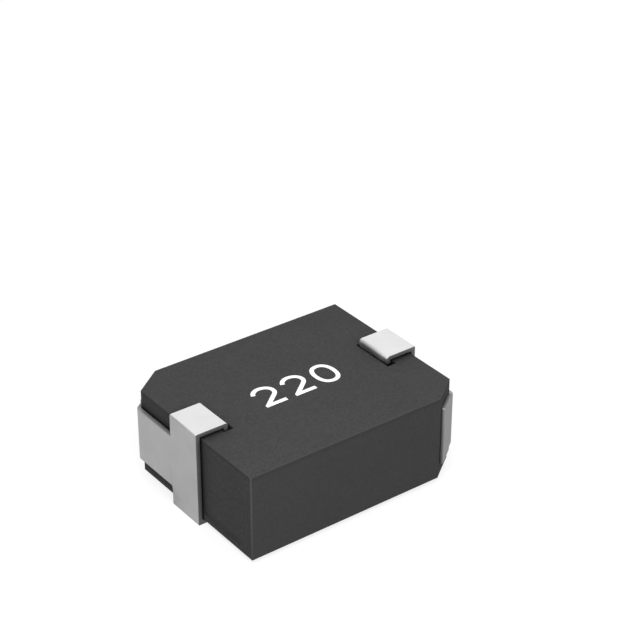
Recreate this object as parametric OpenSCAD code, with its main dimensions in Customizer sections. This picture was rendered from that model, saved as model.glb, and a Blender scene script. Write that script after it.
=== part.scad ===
// Shielded surface-mount power inductor: a composite body moulded round an edge-wound coil,
// held between two folded sheet terminals. Millimetres, +Z up, the board at z = 0 and the
// origin under the middle of the body. One end is described, at +X: the other is the same
// end turned half a turn about Z, but for the slots in the top, which both lie a little
// towards -Y.

/* [Body] */
// Length of the moulded body between its end faces
body_l = 10.06; // [9.4:0.02:12]
// Width of the moulded body between its long sides
body_w = 8.24; // [7.8:0.02:9.4]
// Height of the moulded body
body_h = 3.68; // [3.4:0.02:4.6]
// Cut of a chamfered corner along the length
chamfer_x = 1.22; // [1.1:0.02:1.6]
// Cut of a chamfered corner along the width
chamfer_y = 0.9; // [0.8:0.02:1.2]
// Radius of the moulded edges
edge_r = 0.04; // [0.02:0.01:0.2]

/* [Terminal strip] */
// Thickness of the sheet
sheet_t = 0.18; // [0.15:0.01:0.26]
// Width of the strip that wraps an end
strip_w = 1.76; // [1.4:0.02:2.4]
// Distance of the strip from the middle of the end, away from the chamfered corner
strip_offset = 0.06; // [0:0.01:0.3]
// Gap between the strip and the end face
end_gap = 0.05; // [0.03:0.01:0.15]
// Gap between the top of the body and the strip over it
top_gap = 0.06; // [0.02:0.01:0.15]
// Reach of the solder pad in from the end face
pad_reach = 1.8; // [1.4:0.05:2.2]
// Reach of the strip over the top, from the end face to the outer side of its hook
top_reach = 1.21; // [0.9:0.01:1.4]
// Depth of the hook's tip below the top of the body
hook_depth = 0.1; // [0.05:0.01:0.5]
// Outer radius of the bends at the top and bottom of the end face
bend_r = 0.05; // [0.03:0.01:0.16]
// Outer radius of the bend above the hook
hook_bend_r = 0.13; // [0.1:0.01:0.22]
// Inner radius of the strip's bends
inner_bend_r = 0.04; // [0.02:0.01:0.08]

/* [Weld tab] */
// Height of the arm that leads from the strip to the chamfered corner
arm_h = 2.27; // [1.6:0.01:2.4]
// Fillet under the arm where it leaves the strip
arm_fillet_r = 0.12; // [0.05:0.01:0.3]
// Outer radius of the arm's bend round the corner
arm_bend_r = 0.25; // [0.15:0.01:0.4]
// Thickness of the arm and tab where they are coined flat on the chamfer
tab_t = 0.12; // [0.1:0.01:0.18]
// Gap between the tab and the chamfer
tab_gap = 0.01; // [0.01:0.01:0.1]
// Margin of the tab round the wire end that is welded to it
tab_margin = 0.12; // [0.03:0.01:0.14]

/* [Slots] */
// Clearance between the strip and the nearest side of a slot
side_gap = 0.02; // [0.01:0.01:0.2]
// Distance of the slots in the top from the middle of the end, towards -Y
slot_offset = 0.06; // [0:0.01:0.1]
// Clearance between the outer side of the hook and the slot
slot_front_gap = 0.15; // [0.08:0.01:0.3]
// Clearance between the inner side of the hook and the slot
slot_back_gap = 0.09; // [0.03:0.01:0.2]
// Clearance under the tip of the hook
slot_floor_gap = 0.25; // [0.05:0.01:0.3]
// Length of the lower slot beyond the free end of the solder pad
pad_slot_clear = 0.36; // [0.1:0.01:0.5]
// Length of the lower slot under the solder pad
pad_slot_under = 0.13; // [0.05:0.01:0.3]
// Depth of the lower slot
pad_slot_depth = 0.3; // [0.1:0.01:0.4]

/* [Coil] */
// Drop of the coil's middle, and of the arms welded to it, below the middle of the body
coil_drop = 0.03; // [0:0.01:0.1]
// Width of the flat wire, across the coil
wire_w = 0.8; // [0.6:0.01:0.9]
// Thickness of the flat wire, along the coil
wire_t = 0.26; // [0.2:0.01:0.3]
// Gap between neighbouring turns, filled by their enamel
turn_gap = 0.04; // [0.02:0.01:0.06]
// Radius of the coil at the middle of the wire
coil_r = 2.5; // [2.2:0.05:2.7]
// Whole turns, besides the part turn from one lead to the other
full_turns = 6; // [4:1:7]
// Distance inside the chamfer at which a lead bends to meet it squarely
lead_exit = 0.6; // [0.5:0.02:0.8]
// Radius of the bend in a lead, at the middle of the wire
lead_bend_r = 1; // [0.7:0.05:1.1]
// Clearance of the moulded body round the wire
pocket_gap = 0.03; // [0.02:0.005:0.05]

/* [Hidden] */

// Steps in the arc of a bend or a moulded edge, and in one turn of the coil
arc_steps = 6;
turn_steps = 36;
// How far a cut runs past the face that it opens
overcut = 0.2;

// Faces of the body, which stands on the solder pads, and of the strip
end_x = body_l / 2;
body_low = sheet_t;
body_top = body_low + body_h;
coil_mid = body_low + body_h / 2 - coil_drop;
strip_x = end_x + end_gap + sheet_t;
strip_top = body_top + top_gap + sheet_t;
hook_x = end_x - top_reach;
pad_x = end_x - pad_reach;
strip_edge = strip_offset - strip_w / 2;
slot_w = strip_w + 2 * (strip_offset + slot_offset + side_gap);

// Middle of the chamfer, its direction towards the long side and its outward normal
chamfer_l = norm([chamfer_x, chamfer_y]);
chamfer_mid = [end_x - chamfer_x / 2, (chamfer_y - body_w) / 2];
chamfer_along = [-chamfer_x, -chamfer_y] / chamfer_l;
chamfer_out = [chamfer_y, -chamfer_x] / chamfer_l;

// The coil, wound anticlockwise from the low lead at -X to the high lead at +X. Each lead
// runs straight from where it leaves the circle to its bend, so the angle between the
// corner of the bend and the point of tangency follows from the radius.
pitch = wire_t + turn_gap;
climb = pitch / (2 * PI * coil_r);
lead_corner = chamfer_mid - lead_exit * chamfer_out;
lead_angle = atan2(lead_corner.y, lead_corner.x);
tangent_angle = asin(coil_r / norm(lead_corner));
start_angle = lead_angle - tangent_angle - 90;
exit_angle = atan2(chamfer_out.y, chamfer_out.x) - 90;
part_turn = 2 * tangent_angle;
wound_angle = 360 * full_turns + part_turn;
coil_low = coil_mid - pitch * wound_angle / 720;
coil_high = coil_mid + pitch * wound_angle / 720;

// The tab covers the wire ends of both leads, so one shape of terminal serves both ends
wire_ends = [for (p = wire_line(tab_gap)) p.z];
tab_w = wire_w + 2 * tab_margin;
tab_h = max(wire_ends) - min(wire_ends) + wire_t + 2 * tab_margin;

function unit(v) = v / norm(v);
function polar(r, angle) = r * [cos(angle), sin(angle)];
function reversed(list) = [for (i = [len(list) - 1:-1:0]) list[i]];

// Arc of radius r that rounds the corner b between a and c
function corner_arc(a, b, c, r) =
    let (u = unit(a - b), v = unit(c - b),
         half = acos(u * v) / 2,
         centre = b + unit(u + v) * r / sin(half),
         from = b + u * r / tan(half) - centre,
         swept = (180 - 2 * half) * sign(cross(b - a, c - b)),
         start = atan2(from.y, from.x))
    [for (i = [0:arc_steps]) centre + polar(r, start + swept * i / arc_steps)];

// Closed outline through corners given as [x, y, radius]
function rounded(corners) =
    let (n = len(corners), at = [for (c = corners) [c.x, c.y]])
    [for (i = [0:n - 1])
        each corners[i].z > 0
            ? corner_arc(at[(i + n - 1) % n], at[i], at[(i + 1) % n], corners[i].z)
            : [at[i]]];

// Distance along a line of points, at each of them
function run(points) =
    [for (i = 0, s = 0; i < len(points);
          s = s + (i + 1 < len(points) ? norm(points[i + 1] - points[i]) : 0), i = i + 1) s];

// Places along the middle of the wire, as [x, y, z, angle of the line across the wire]. On
// the coil, from one angle after its start to another.
function coil_line(from, to) =
    let (n = ceil(turn_steps * (to - from) / 360))
    [for (i = [0:n])
        let (wound = from + (to - from) * i / n, angle = start_angle + wound)
        [each polar(coil_r, angle), coil_low + pitch * wound / 360, angle]];

// On one lead, outwards from the circle. The side is 1 for the high lead at +X and -1 for
// the low one at -X, and the end stands out of the chamfer.
function lead_line(side, end_out) =
    let (angle = start_angle + (side > 0 ? part_turn : 0),
         z = side > 0 ? coil_high : coil_low,
         touch = polar(coil_r, angle),
         end = side * (chamfer_mid + end_out * chamfer_out),
         plan = concat([touch], corner_arc(touch, side * lead_corner, end, lead_bend_r), [end]),
         along = run(plan))
    [for (i = [0:len(plan) - 1])
        let (bent = min(max(i - 1, 0), arc_steps) / arc_steps)
        [each plan[i], z + side * climb * along[i], angle + bent * (exit_angle - angle)]];

function low_lead(end_out) = reversed(lead_line(-1, end_out));
function high_lead(end_out) = lead_line(1, end_out);

// The whole wire, upwards from the low lead to the high one
function wire_line(end_out) =
    let (coil = coil_line(0, wound_angle))
    concat(low_lead(end_out), [for (i = [1:len(coil) - 2]) coil[i]], high_lead(end_out));

// Band of flat bar along such a line, reaching below and above it
module band(line, width, below, above) {
    n = len(line);
    points = [for (p = line)
        let (mid = [p.x, p.y], half = polar(width / 2, p[3]))
        each [[each mid - half, p.z - below], [each mid + half, p.z - below],
              [each mid + half, p.z + above], [each mid - half, p.z + above]]];
    walls = [for (i = [0:4:4 * n - 8], k = [0:3])
        let (a = i + k, b = i + (k + 1) % 4)
        each [[a, b + 4, a + 4], [a, b, b + 4]]];
    last = 4 * n - 4;
    polyhedron(points, concat(
        [[0, 2, 1], [0, 3, 2]], walls,
        [[last, last + 1, last + 2], [last, last + 2, last + 3]]));
}

// Copies for the end at +X and the end at -X
module both_ends() {
    for (turn = [0, 180])
        rotate([0, 0, turn])
            children();
}

// Slab of the body's height with all four long edges rounded, crossing the given direction
module edged_slab(width, direction) {
    rotate([0, 0, direction])
        rotate([90, 0, 0])
            linear_extrude(2 * body_l, center = true)
                translate([-width / 2, body_low]) {
                    translate([edge_r, 0]) square([width - 2 * edge_r, body_h]);
                    translate([0, edge_r]) square([width, body_h - 2 * edge_r]);
                    for (x = [edge_r, width - edge_r], y = [edge_r, body_h - edge_r])
                        translate([x, y]) circle(edge_r, $fn = 32);
                }
}

// Block between three pairs of parallel faces: the ends, the long sides and the chamfers
module moulded_block() {
    half = [[end_x, -body_w / 2 + chamfer_y, edge_r], [end_x, body_w / 2, edge_r],
            [-end_x + chamfer_x, body_w / 2, edge_r]];
    outline = concat(half, [for (c = half) [-c.x, -c.y, c.z]]);
    intersection() {
        translate([0, 0, body_low]) linear_extrude(body_h) polygon(rounded(outline));
        edged_slab(body_l, 0);
        edged_slab(body_w, 90);
        edged_slab(2 * chamfer_mid * chamfer_out, atan2(chamfer_out.y, chamfer_out.x));
    }
}

// Slot in the top that the hook drops into
module hook_slot() {
    depth = hook_depth + slot_floor_gap;
    translate([hook_x - slot_front_gap, -slot_w / 2, body_top - depth])
        cube([slot_front_gap + sheet_t + slot_back_gap, slot_w, depth + overcut]);
}

// Slot in the underside that clears the free end of the solder pad
module pad_slot() {
    translate([pad_x - pad_slot_clear, -slot_w / 2, body_low - overcut])
        cube([pad_slot_clear + pad_slot_under, slot_w, pad_slot_depth + overcut]);
}

// Space that the wire takes up in the moulding. The turns lie on one another, so they leave
// one ring with a climbing floor and roof, one turn taller along the part turn.
module coil_pocket() {
    width = wire_w + 2 * pocket_gap;
    half = wire_t / 2 + pocket_gap;
    band(coil_line(0, part_turn), width, half, half + pitch * full_turns);
    band(coil_line(part_turn, 360), width, half, half + pitch * (full_turns - 1));
    band(low_lead(overcut), width, half, half);
    band(high_lead(overcut), width, half, half);
}

module core_body() {
    color("#4a494a")
        difference() {
            moulded_block();
            translate([0, -slot_offset, 0]) both_ends() hook_slot();
            both_ends() pad_slot();
            coil_pocket();
        }
}

module coil_winding() {
    color("#b8733c")
        band(wire_line(tab_gap), wire_w, wire_t / 2, wire_t / 2);
}

// The strip seen from the side: solder pad, end, top and hook
module folded_strip() {
    profile = [
        [pad_x, 0, 0], [strip_x, 0, bend_r], [strip_x, strip_top, bend_r],
        [hook_x, strip_top, hook_bend_r], [hook_x, body_top - hook_depth, 0],
        [hook_x + sheet_t, body_top - hook_depth, 0],
        [hook_x + sheet_t, strip_top - sheet_t, inner_bend_r],
        [strip_x - sheet_t, strip_top - sheet_t, inner_bend_r],
        [strip_x - sheet_t, sheet_t, inner_bend_r], [pad_x, sheet_t, 0]];
    translate([0, strip_edge + strip_w, 0])
        rotate([90, 0, 0])
            linear_extrude(strip_w)
                polygon(rounded(profile));
}

// The arm seen from above: along the end face, round the corner and over the chamfer
module arm_plan() {
    end_y = function (x, off) (x - chamfer_mid.x - off * chamfer_out.x) / chamfer_along.x;
    on_chamfer = function (along, off)
        chamfer_mid + along * chamfer_along + off * chamfer_out;
    outer = tab_gap + tab_t;
    corner_out = on_chamfer(end_y(strip_x, outer), outer);
    corner_in = on_chamfer(end_y(strip_x - sheet_t, tab_gap), tab_gap);
    polygon(rounded([
        [strip_x - sheet_t, strip_offset, 0],
        [each corner_in, arm_bend_r - tab_t],
        [each on_chamfer(tab_w / 2, tab_gap), 0],
        [each on_chamfer(tab_w / 2, outer), 0],
        [each corner_out, arm_bend_r],
        [strip_x, strip_offset, 0]]));
}

// The arm with the taller tab at its end, which only starts once the chamfer is reached
module arm_and_tab() {
    shoulder = (tab_h - arm_h) / 2;
    difference() {
        translate([0, 0, coil_mid - tab_h / 2]) linear_extrude(tab_h) arm_plan();
        for (z = [coil_mid - tab_h / 2 - overcut, coil_mid + arm_h / 2])
            translate([each chamfer_mid, z])
                rotate([0, 0, atan2(chamfer_along.y, chamfer_along.x)])
                    translate([-tab_w / 2 - body_w, -body_w / 2, 0])
                        cube([body_w, body_w, shoulder + overcut]);
    }
}

// Fillet between the lower edge of the arm and the strip
module arm_fillet() {
    translate([strip_x - sheet_t, strip_edge, coil_mid - arm_h / 2])
        rotate([90, 0, 90])
            linear_extrude(sheet_t)
                translate([-arm_fillet_r, -arm_fillet_r])
                    difference() {
                        square(arm_fillet_r);
                        circle(arm_fillet_r, $fn = 32);
                    }
}

// One terminal, cut and folded from a single piece of sheet
module terminal() {
    folded_strip();
    arm_and_tab();
    arm_fillet();
}

module left_terminal() {
    color("#c9cac8") rotate([0, 0, 180]) terminal();
}

module right_terminal() {
    color("#c9cac8") terminal();
}

core_body();
coil_winding();
left_terminal();
right_terminal();
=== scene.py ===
import math

import bmesh
import bpy
from mathutils import Matrix, Vector


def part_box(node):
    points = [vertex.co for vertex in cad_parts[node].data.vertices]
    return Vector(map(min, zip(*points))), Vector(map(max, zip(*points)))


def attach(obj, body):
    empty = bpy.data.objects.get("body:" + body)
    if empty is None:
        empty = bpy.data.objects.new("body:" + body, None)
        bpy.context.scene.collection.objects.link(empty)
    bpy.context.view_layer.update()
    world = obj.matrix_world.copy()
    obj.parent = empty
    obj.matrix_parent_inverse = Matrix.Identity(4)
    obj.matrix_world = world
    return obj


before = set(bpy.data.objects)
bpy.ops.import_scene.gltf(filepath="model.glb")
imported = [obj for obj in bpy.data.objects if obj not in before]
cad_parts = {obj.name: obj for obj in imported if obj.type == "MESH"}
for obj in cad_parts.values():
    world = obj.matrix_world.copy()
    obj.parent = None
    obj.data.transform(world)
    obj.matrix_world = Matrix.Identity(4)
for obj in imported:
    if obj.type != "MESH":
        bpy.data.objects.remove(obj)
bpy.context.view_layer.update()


# Coil winding: flat copper wire wound on edge, under a thin coat of enamel. It is the first
# piece to be made, and the body is then pressed round it, so only the two wire ends show,
# behind the tabs that they are welded to.
MM = 0.001
weld_within = 1e-4
bevel_segments = 2
dark_copper = (0.36, 0.12, 0.04, 1)
bright_copper = (0.62, 0.27, 0.11, 1)


def add_node(tree, kind, settings=None, **inputs):
    """A shader node with its settings, and its inputs set to values or joined to outputs. An
    input goes by its name, with _ for a space, or by i and its number."""
    node = tree.nodes.new(kind)
    for name, value in (settings or {}).items():
        setattr(node, name, value)
    for name, value in inputs.items():
        key = int(name[1:]) if name[1:].isdigit() else name.replace("_", " ")
        socket = node.inputs[key]
        if isinstance(value, bpy.types.NodeSocket):
            tree.links.new(value, socket)
        else:
            socket.default_value = value
    return node


def maths(tree, operation, *values):
    """The output of one sum on values or outputs."""
    inputs = {f"i{i}": value for i, value in enumerate(values)}
    return add_node(tree, "ShaderNodeMath", {"operation": operation}, **inputs).outputs[0]


def blend(tree, share, one, other):
    """The output of a mix of two colours."""
    settings = {"data_type": "RGBA"}
    return add_node(tree, "ShaderNodeMix", settings, i0=share, i6=one, i7=other).outputs[2]


def between(tree, share, low, high):
    """The output of a number that goes from low to high as the share goes from 0 to 1."""
    return add_node(tree, "ShaderNodeMapRange", Value=share, To_Min=low, To_Max=high).outputs[0]


def grain_group():
    """Fine surface grain: a tone round 0.5 that is cloudy over Cloud mm and grainy over Grain
    mm, and the height of the grain."""
    group = bpy.data.node_groups.new("Fine grain", "ShaderNodeTree")
    for label, value in (("Grain", 0.05), ("Cloud", 1.5), ("Cloudiness", 0.3)):
        socket = group.interface.new_socket(label, in_out="INPUT", socket_type="NodeSocketFloat")
        socket.default_value = value
    for label in ("Tone", "Height"):
        group.interface.new_socket(label, in_out="OUTPUT", socket_type="NodeSocketFloat")
    given = group.nodes.new("NodeGroupInput").outputs
    result = group.nodes.new("NodeGroupOutput").inputs
    place = add_node(group, "ShaderNodeTexCoord").outputs["Object"]
    in_mm = add_node(group, "ShaderNodeVectorMath", {"operation": "SCALE"}, Vector=place,
                     Scale=1 / MM)
    noises = {}
    for label, detail in (("Grain", 3.0), ("Cloud", 2.0)):
        scale = maths(group, "DIVIDE", 1.0, given[label])
        noises[label] = add_node(group, "ShaderNodeTexNoise", Vector=in_mm.outputs[0], Scale=scale,
                                 Detail=detail, Roughness=0.6).outputs[0]
    tone = add_node(group, "ShaderNodeMix", i0=given["Cloudiness"], i2=noises["Grain"],
                    i3=noises["Cloud"]).outputs[0]
    group.links.new(tone, result["Tone"])
    group.links.new(noises["Grain"], result["Height"])
    return group


fine_grain = grain_group()


def add_grain(tree, **sizes):
    """The tone and height of the fine grain, at these sizes."""
    return add_node(tree, "ShaderNodeGroup", {"node_tree": fine_grain}, **sizes).outputs


def new_finish(name, **shader_values):
    """A material whose one shader has these values. Returns it with its tree and shader."""
    material = bpy.data.materials.new(name)
    material.use_nodes = True
    tree = material.node_tree
    shader = tree.nodes["Principled BSDF"]
    for label, value in shader_values.items():
        shader.inputs[label.replace("_", " ")].default_value = value
    return material, tree, shader


def lay_on(tree, shader, colour, rough, height, depth_mm):
    """Joins a colour, a roughness and a bump of this real depth to the shader."""
    bump = add_node(tree, "ShaderNodeBump", Height=height, Distance=depth_mm * MM, Strength=1.0)
    tree.links.new(colour, shader.inputs["Base Color"])
    tree.links.new(rough, shader.inputs["Roughness"])
    tree.links.new(bump.outputs[0], shader.inputs["Normal"])


def enamelled_copper():
    material, tree, shader = new_finish("enamelled_copper", Metallic=0.85, Coat_Weight=0.7,
                                        Coat_Roughness=0.12)
    tone, height = add_grain(tree, Grain=0.09, Cloud=0.7, Cloudiness=0.6)
    colour = blend(tree, tone, dark_copper, bright_copper)
    rough = between(tree, tone, low=0.2, high=0.45)
    lay_on(tree, shader, colour, rough, height, depth_mm=0.002)
    return material


def dress(node, material, bevel_mm, least_angle):
    """Gives a CAD piece its finish, with its triangles joined up and its sharp edges broken."""
    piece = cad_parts[node]
    piece.data.materials.clear()
    piece.data.materials.append(material)
    weld = piece.modifiers.new("joined", "WELD")
    weld.merge_threshold = weld_within * MM
    bevel = piece.modifiers.new("broken_edges", "BEVEL")
    bevel.width = bevel_mm * MM
    bevel.segments = bevel_segments
    bevel.limit_method = "ANGLE"
    bevel.angle_limit = math.radians(least_angle)
    bevel.use_clamp_overlap = False
    normals = piece.modifiers.new("even_shading", "WEIGHTED_NORMAL")
    normals.keep_sharp = False
    normals.weight = 100


dress("coil_winding", enamelled_copper(), bevel_mm=0.03, least_angle=60)


# Core body: a matte charcoal block of iron powder and resin, pressed round the coil and cured.
# The powder shows as a very fine grain, which is finest on the long sides, where the block slid
# out of the die. Its edges and upright corners carry a painted highlight, and a band just under
# the top and its gaps carry painted shade.
chamfer_x = 1.22
chamfer_y = 0.9
chamfer_normal = Vector((chamfer_y, -chamfer_x, 0)).normalized()
body_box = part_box("core_body")
top_z = body_box[1].z / MM
tab_from = 3.2 * MM
tab_fade = 0.2 * MM
foot_high, foot_low = 0.8 * MM, 0.3 * MM
rim_low, rim_high = (top_z - 0.21) * MM, (top_z - 0.15) * MM
corner_w, corner_fade = 0.06 * MM, 0.03 * MM
wide_gap, narrow_gap = 0.9, 0.12
grain_low, grain_high = 0.3, 0.7
fine_all, fine_top, fine_long_side = 0.2, 0.2, 0.52
rim_shade_share, edge_highlight_share, corner_highlight_share = 0.35, 0.3, 0.8
dark_powder = (0.0248, 0.0248, 0.0252, 1)
pale_powder = (0.0542, 0.0538, 0.0542, 1)
rim_shade_tone = (0.027, 0.027, 0.0275, 1)
edge_highlight_tone = (0.068, 0.068, 0.069, 1)
crevice_shade_tone = (0.006, 0.006, 0.006, 1)


def step(tree, value, low, high):
    """The output of a smooth step from 0 at low to 1 at high."""
    settings = {"interpolation_type": "SMOOTHSTEP"}
    return add_node(tree, "ShaderNodeMapRange", settings, Value=value,
                    From_Min=low, From_Max=high).outputs[0]


def absolute(tree, value):
    """The output of a value without its sign."""
    return maths(tree, "ABSOLUTE", value)


def all_of(tree, first, *others):
    """The output of several shares multiplied."""
    for other in others:
        first = maths(tree, "MULTIPLY", first, other)
    return first


def any_of(tree, first, *others):
    """The output of the largest of several shares."""
    for other in others:
        first = maths(tree, "MAXIMUM", first, other)
    return first


def agreement(tree, one, other):
    """The output that says how far two directions agree: 1 for the same, 0 for square."""
    settings = {"operation": "DOT_PRODUCT"}
    return add_node(tree, "ShaderNodeVectorMath", settings, i0=one, i1=other).outputs["Value"]


def by_axis(tree, vector):
    """The X, Y and Z outputs of a vector."""
    return add_node(tree, "ShaderNodeSeparateXYZ", Vector=vector).outputs


def openness(tree, reach_mm):
    """The output that is 1 where nothing stands within this reach and 0 deep in a gap."""
    air = add_node(tree, "ShaderNodeAmbientOcclusion", {"samples": 8}, Distance=reach_mm * MM)
    return air.outputs["AO"]


def broken_edges(tree, normal):
    """The output that is 1 where a surface turns away from the flat directions of the body."""
    flat = [absolute(tree, way) for way in by_axis(tree, normal)]
    flat.append(absolute(tree, agreement(tree, normal, chamfer_normal)))
    turned = maths(tree, "SUBTRACT", 1.0, any_of(tree, *flat))
    return step(tree, turned, 0.0, 0.12)


def pressed_composite():
    """In turn: the grain, painted shade in a band just under the top, a painted highlight on the
    edges and upright corners, and painted shade in the gaps, but not low down or beside the tabs."""
    material, tree, shader = new_finish("composite", IOR=1.45, Specular_IOR_Level=0.2)
    grain, height = add_grain(tree, Grain=0.085, Cloud=2.2, Cloudiness=0.15)
    geometry = add_node(tree, "ShaderNodeNewGeometry").outputs
    x, y, z = by_axis(tree, geometry["Position"])
    long_side, flat = [absolute(tree, way) for way in by_axis(tree, geometry["Normal"])[1:]]

    fineness = maths(tree, "MULTIPLY_ADD", long_side, fine_long_side, fine_all)
    fineness = maths(tree, "MULTIPLY_ADD", flat, fine_top, fineness)
    tone = step(tree, grain, grain_low, grain_high)
    tone = add_node(tree, "ShaderNodeMix", i0=fineness, i2=tone, i3=0.5).outputs[0]
    colour = blend(tree, tone, dark_powder, pale_powder)

    upright = step(tree, flat, 0.5, 0.2)
    # Painted shade: a darker band on the upright sides just under the top edge.
    shaded_rim = all_of(tree, upright, step(tree, z, rim_low, rim_high))
    colour = blend(tree, all_of(tree, shaded_rim, rim_shade_share), colour, rim_shade_tone)

    # Painted highlight: the rounded edges and the upright corners are lighter.
    near = [step(tree, absolute(tree, place), reach - corner_w, reach - corner_fade)
            for place, reach in ((x, body_box[1].x), (y, body_box[1].y))]
    corner = all_of(tree, upright, *near)
    edge = broken_edges(tree, geometry["Normal"])
    painted_highlight = any_of(tree, all_of(tree, edge, edge_highlight_share), all_of(tree, corner, corner_highlight_share))
    colour = blend(tree, painted_highlight, colour, edge_highlight_tone)

    # Painted shade: dark in gaps and recesses, but not low down or beside the tabs.
    wide = openness(tree, wide_gap)
    wide = add_node(tree, "ShaderNodeMapRange", Value=wide, From_Min=0.5).outputs[0]
    narrow = step(tree, openness(tree, narrow_gap), 0.45, 0.9)
    low = step(tree, z, foot_high, foot_low)
    by_tab = step(tree, absolute(tree, y), tab_from, tab_from + tab_fade)
    open_air = all_of(tree, any_of(tree, low, by_tab, wide), any_of(tree, narrow, by_tab))
    colour = blend(tree, open_air, crevice_shade_tone, colour)

    rough = between(tree, tone, low=0.62, high=0.78)
    lay_on(tree, shader, colour, rough, height, depth_mm=0.002)
    return material


# Only square edges are broken: the rounded ones meet at the corners in facets too small for it.
dress("core_body", pressed_composite(), bevel_mm=0.012, least_angle=89.7)


# Terminals: one piece of tin-plated copper sheet at each end, sheared to shape, welded to the
# wire end by its tab and folded round the body. The tin is satin. The tab, coined flat, carries
# painted shade on its face and free end. The sheared edges show the bare sheet, with painted light
# on those facing up and down, and the gaps beside the body carry painted shade.
arm_low, arm_high = 0.4 * MM, 3.81 * MM
pad_end = 3.3 * MM
tab_light = 0.35
sheared_rough = 0.2
sheet_gap = 0.2
dull_tin = (0.82, 0.82, 0.815, 1)
bright_tin = (0.88, 0.88, 0.88, 1)
tab_face_shade = (0.55, 0.55, 0.55, 1)
tab_end_shade = (0.35, 0.35, 0.35, 1)
dark_sheet = (0.24, 0.24, 0.235, 1)
lit_sheet = (0.42, 0.42, 0.415, 1)
gap_shade_tone = (0.03, 0.03, 0.03, 1)


def sheared_mask(tree):
    """1 on the cut edges of the sheet: where it faces along the width, or up and down on the arm
    and hook, or along the sheet at the free end of the pad. Also the painted light on them: 1 on
    those facing up and down, and less on the tab, which is kept darker."""
    geometry = add_node(tree, "ShaderNodeNewGeometry").outputs
    normal = by_axis(tree, geometry["Normal"])
    length_way, width_way, up_way = [absolute(tree, way) for way in normal]
    x, y, z = by_axis(tree, geometry["Position"])
    across = step(tree, width_way, 0.86, 0.97)
    on_arm = all_of(tree, maths(tree, "GREATER_THAN", z, arm_low),
                    maths(tree, "LESS_THAN", z, arm_high))
    upright = all_of(tree, on_arm, step(tree, up_way, 0.75, 0.9))
    inward = maths(tree, "LESS_THAN", absolute(tree, x), pad_end)
    free_pad = all_of(tree, inward, step(tree, length_way, 0.75, 0.9))
    short_of_tab = step(tree, absolute(tree, y), tab_from + tab_fade / 2, tab_from)
    sheared = any_of(tree, across, upright, free_pad)
    return sheared, all_of(tree, upright, any_of(tree, short_of_tab, tab_light))


def tin_plate():
    material, tree, shader = new_finish("tin_plate", Metallic=1.0)
    grain, height = add_grain(tree, Grain=0.03, Cloud=0.8, Cloudiness=0.5)
    tone = step(tree, grain, grain_low, grain_high)
    plated = blend(tree, tone, dull_tin, bright_tin)
    normal = add_node(tree, "ShaderNodeNewGeometry").outputs["Normal"]
    # Painted shade: the tab's face and its free end are darker copies of the tin.
    for way, shade_tone in ((chamfer_normal, tab_face_shade),
                        (chamfer_normal.cross((0, 0, 1)), tab_end_shade)):
        faces_it = step(tree, absolute(tree, agreement(tree, normal, way)), 0.9, 0.97)
        plated = blend(tree, faces_it, plated, shade_tone)
    sheared, lit = sheared_mask(tree)
    # Painted light: cut edges facing up and down are a lighter copy of the bare sheet, less so on
    # the tab.
    colour = blend(tree, sheared, plated, blend(tree, lit, dark_sheet, lit_sheet))
    # Painted shade: the tin goes dark where it stands close to the body.
    colour = blend(tree, step(tree, openness(tree, sheet_gap), 0.1, 0.45), gap_shade_tone, colour)
    rough = between(tree, tone, low=0.38, high=0.46)
    rough = maths(tree, "ADD", rough, maths(tree, "MULTIPLY", sheared, sheared_rough))
    lay_on(tree, shader, colour, rough, height, depth_mm=0.0015)
    return material


tin = tin_plate()
for end in ("left_terminal", "right_terminal"):
    dress(end, tin, bevel_mm=0.010, least_angle=40)


# Marking: three plain numbers, printed in white ink on the flat top once the body has cured.
# The ink is a thin film with soft edges, and the grain of the body shows faintly through it.
digit_w = 1.06
digit_h = 1.36
digit_gap = 0.32
nought_w = 1.04
nought_squareness = 0.88
bow_h = 0.37
bow_from, bow_to = math.radians(168), math.radians(-46)
foot_end = 1.04
foot_corner_h = 0.13
nook_w = 0.012
pen_w = 0.18
ink_thick = 0.010
ink_sunk = 0.002
rim_w = 0.004
marking_y = -0.015
arc_points = 28
thin_share = 0.5
full_ink = (0.93, 0.93, 0.925, 1)
thin_ink = (0.5, 0.5, 0.5, 1)


def both_sides(line, closed):
    """The two sides of a stroke of the pen's width along a line of points."""
    count = len(line)
    sides = []
    for i, point in enumerate(line):
        back = line[i - 1] if closed or i else point
        ahead = line[(i + 1) % count] if closed or i < count - 1 else point
        before = (point - back).normalized() if back is not point else (ahead - point).normalized()
        after = (ahead - point).normalized() if ahead is not point else before
        left = Vector((-after.y, after.x))
        middle = (Vector((-before.y, before.x)) + left).normalized()
        reach = middle * (pen_w / 2 / middle.dot(left))
        sides.append((point - reach, point + reach))
    return sides


def two_sides():
    """A 2: over the top, down on the tangent to the foot, and along the foot. The outer corner of
    the foot is cut square."""
    bow_w = (digit_w - pen_w) / 2
    middle = Vector((digit_w / 2, digit_h - pen_w / 2 - bow_h))
    turns = [bow_from + (bow_to - bow_from) * i / arc_points for i in range(arc_points + 1)]
    line = [middle + Vector((bow_w * math.cos(t), bow_h * math.sin(t))) for t in turns]
    slope = Vector((bow_w * math.sin(bow_to), -bow_h * math.cos(bow_to))).normalized()
    foot = line[-1] + slope * (line[-1].y - pen_w / 2) / -slope.y
    sides = both_sides(line + [foot, Vector((foot_end, pen_w / 2))], False)
    outer, inner = sides[-2]
    outer_top = outer + slope * foot_corner_h / slope.y
    outer_foot = Vector((outer_top.x, outer.y))
    sides[-2:-1] = [(outer_top, inner - slope * nook_w),
                    (outer_foot, inner + Vector((nook_w, 0)))]
    return sides, False


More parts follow.
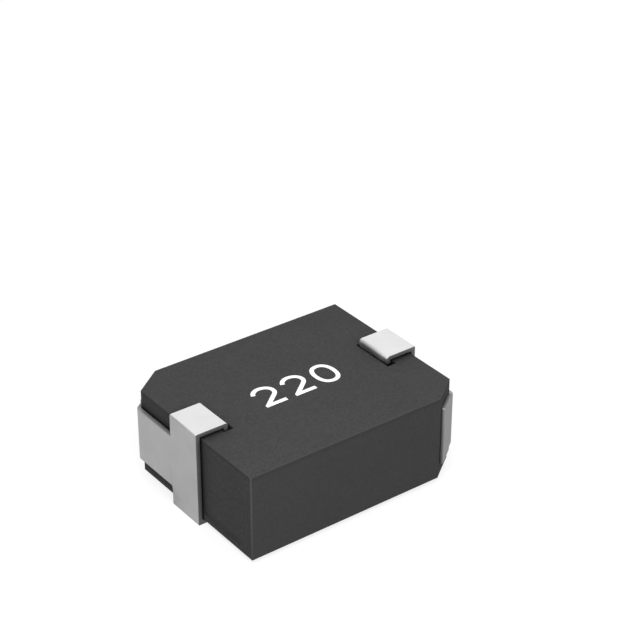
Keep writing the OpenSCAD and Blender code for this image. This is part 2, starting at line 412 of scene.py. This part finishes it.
def nought_sides():
    """A 0, a little squarer than an oval."""
    half_w, half_h = (nought_w - pen_w) / 2, (digit_h - pen_w) / 2
    middle = Vector((digit_w / 2, digit_h / 2))
    line = []
    for i in range(2 * arc_points):
        turned = math.tau * i / (2 * arc_points)
        c, s = math.cos(turned), math.sin(turned)
        line.append(middle + Vector((math.copysign(half_w * abs(c) ** nought_squareness, c),
                                     math.copysign(half_h * abs(s) ** nought_squareness, s))))
    return both_sides(line, True), True


def pen_stroke(mesh, sides, closed, offset):
    """A flat stroke of the ink's thickness between two sides."""
    rings = []
    for pair in sides:
        ring = []
        for z in (top_z - ink_sunk, top_z - ink_sunk + ink_thick):
            for side in pair:
                x, y = offset + side
                ring.append(mesh.verts.new((x * MM, y * MM, z * MM)))
        rings.append(ring)
    next_rings = rings[1:] + rings[:1] if closed else rings[1:]
    for a, b in zip(rings, next_rings):
        for i, j in ((0, 1), (1, 3), (3, 2), (2, 0)):
            mesh.faces.new((a[i], b[i], b[j], a[j]))
    if not closed:
        mesh.faces.new([rings[0][i] for i in (0, 1, 3, 2)])
        mesh.faces.new([rings[-1][i] for i in (0, 2, 3, 1)])


def marking_ink():
    material, tree, shader = new_finish("marking_ink", IOR=1.45)
    tone, height = add_grain(tree, Grain=0.045, Cloud=0.4, Cloudiness=0.25)
    thin = all_of(tree, step(tree, tone, 0.36, 0.24), thin_share)
    colour = blend(tree, thin, full_ink, thin_ink)
    rough = between(tree, tone, low=0.5, high=0.7)
    lay_on(tree, shader, colour, rough, height, depth_mm=0.003)
    return material


def put_in_scene(name, data):
    """A new object in the scene."""
    thing = bpy.data.objects.new(name, data)
    bpy.context.scene.collection.objects.link(thing)
    return thing


ink_mesh = bmesh.new()
line_w = 3 * digit_w + 2 * digit_gap
for place, digit in enumerate((two_sides, two_sides, nought_sides)):
    sides, closed = digit()
    corner = Vector((place * (digit_w + digit_gap) - line_w / 2, marking_y - digit_h / 2))
    pen_stroke(ink_mesh, sides, closed, corner)
bmesh.ops.recalc_face_normals(ink_mesh, faces=ink_mesh.faces)
ink_data = bpy.data.meshes.new("marking")
ink_mesh.to_mesh(ink_data)
ink_mesh.free()
marking = put_in_scene("marking", ink_data)
marking.data.materials.append(marking_ink())
soft_rim = marking.modifiers.new("soft_rim", "BEVEL")
soft_rim.width = rim_w * MM
soft_rim.segments = bevel_segments
soft_rim.limit_method = "ANGLE"
soft_rim.angle_limit = math.radians(50)
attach(marking, "root")


# Studio: a plain pale floor that reaches well past the view, under a white dome that is dimmer
# low down at the back left, with one wide soft light high up at the front left.
floor_reach = 600 * MM
floor_dark = (0.21, 0.21, 0.21, 1)
floor_pale = (0.23, 0.23, 0.23, 1)
floor_to_part = (0.2, 0.2, 0.2, 1)
glow_to_part = (0.135, 0.135, 0.135, 1)
glow_to_camera = (0.76, 0.76, 0.76, 1)
dim_side = Vector((-0.70, 0.70, 0.15)).normalized()
dim_reach = math.radians(72)
dim_strength, full_strength = 0.1, 0.95
front = Vector((-0.75, -0.65, 0.1)).normalized()
front_strength = 0.56
lamp_size = 34
lamp_power = 0.0135
lamp_at = Vector((-22, -27, 36))
lamp_aim = Vector((0, 0, 2))


def pale_floor():
    """Seen as white, and seen from the part as a mid tone, like a small white board in a room. It
    glows a little, so that the part's own shade on it stays faint."""
    material, tree, shader = new_finish("pale_floor", Roughness=0.9, Emission_Strength=1.0)
    seen = add_node(tree, "ShaderNodeLightPath").outputs["Is Camera Ray"]
    tone = add_grain(tree, Grain=0.3, Cloud=8.0, Cloudiness=0.5)["Tone"]
    pale = blend(tree, seen, floor_to_part, blend(tree, tone, floor_dark, floor_pale))
    tree.links.new(pale, shader.inputs["Base Color"])
    glow = blend(tree, seen, glow_to_part, glow_to_camera)
    tree.links.new(glow, shader.inputs["Emission Color"])
    return material


def light_dome(tree):
    """Strength of the dome: full over the part, more in front, and low round the dim side."""
    sky = tree.nodes["Background"]
    sky.inputs["Color"].default_value = (1, 1, 1, 1)
    way = add_node(tree, "ShaderNodeTexCoord").outputs["Generated"]
    angle = maths(tree, "ARCCOSINE", agreement(tree, way, dim_side))
    dimmed = add_node(tree, "ShaderNodeMapRange", Value=angle, From_Max=dim_reach,
                      To_Min=dim_strength, To_Max=full_strength).outputs[0]
    ahead = maths(tree, "MAXIMUM", agreement(tree, way, front), 0.0)
    light = maths(tree, "ADD", dimmed, maths(tree, "MULTIPLY", ahead, front_strength))
    seen = add_node(tree, "ShaderNodeLightPath").outputs["Is Camera Ray"]
    strength = add_node(tree, "ShaderNodeMix", i0=seen, i2=light, i3=1.0).outputs[0]
    tree.links.new(strength, sky.inputs["Strength"])


floor_corners = [(x * floor_reach, y * floor_reach, 0)
                 for x, y in ((-1, -1), (1, -1), (1, 1), (-1, 1))]
floor_data = bpy.data.meshes.new("floor")
floor_data.from_pydata(floor_corners, [], [(0, 1, 2, 3)])
floor = put_in_scene("floor", floor_data)
floor.data.materials.append(pale_floor())

world = bpy.data.worlds.new("studio")
bpy.context.scene.world = world
world.use_nodes = True
light_dome(world.node_tree)

lamp_data = bpy.data.lights.new("front_left", "AREA")
lamp_data.size = lamp_size * MM
lamp_data.energy = lamp_power
lamp = put_in_scene("front_left", lamp_data)
lamp.location = lamp_at * MM
lamp.rotation_euler = (lamp_aim - lamp_at).to_track_quat("-Z", "Y").to_euler()


# Camera: where the reference view was taken from, high up at the front left, with a long lens.
# Its angles are in degrees and its place in millimetres.
view_azimuth = 36.965
view_elevation = 30.053
view_roll = 0.112
camera_at = Vector((-35.835, -49.145, 41.914))
lens_mm = 104.66
sensor_mm = 36
nearest, furthest = 1 * MM, 5

camera_data = bpy.data.cameras.new("camera")
camera_data.sensor_width = sensor_mm
camera_data.lens = lens_mm
camera_data.clip_start = nearest
camera_data.clip_end = furthest
camera = put_in_scene("camera", camera_data)
turn = Matrix.Rotation(math.radians(-view_azimuth), 4, "Z")
tilt = Matrix.Rotation(math.radians(90 - view_elevation), 4, "X")
roll = Matrix.Rotation(math.radians(view_roll), 4, "Z")
camera.matrix_world = Matrix.Translation(camera_at * MM) @ turn @ tilt @ roll
bpy.context.scene.camera = camera
bpy.context.scene.view_settings.view_transform = "Standard"
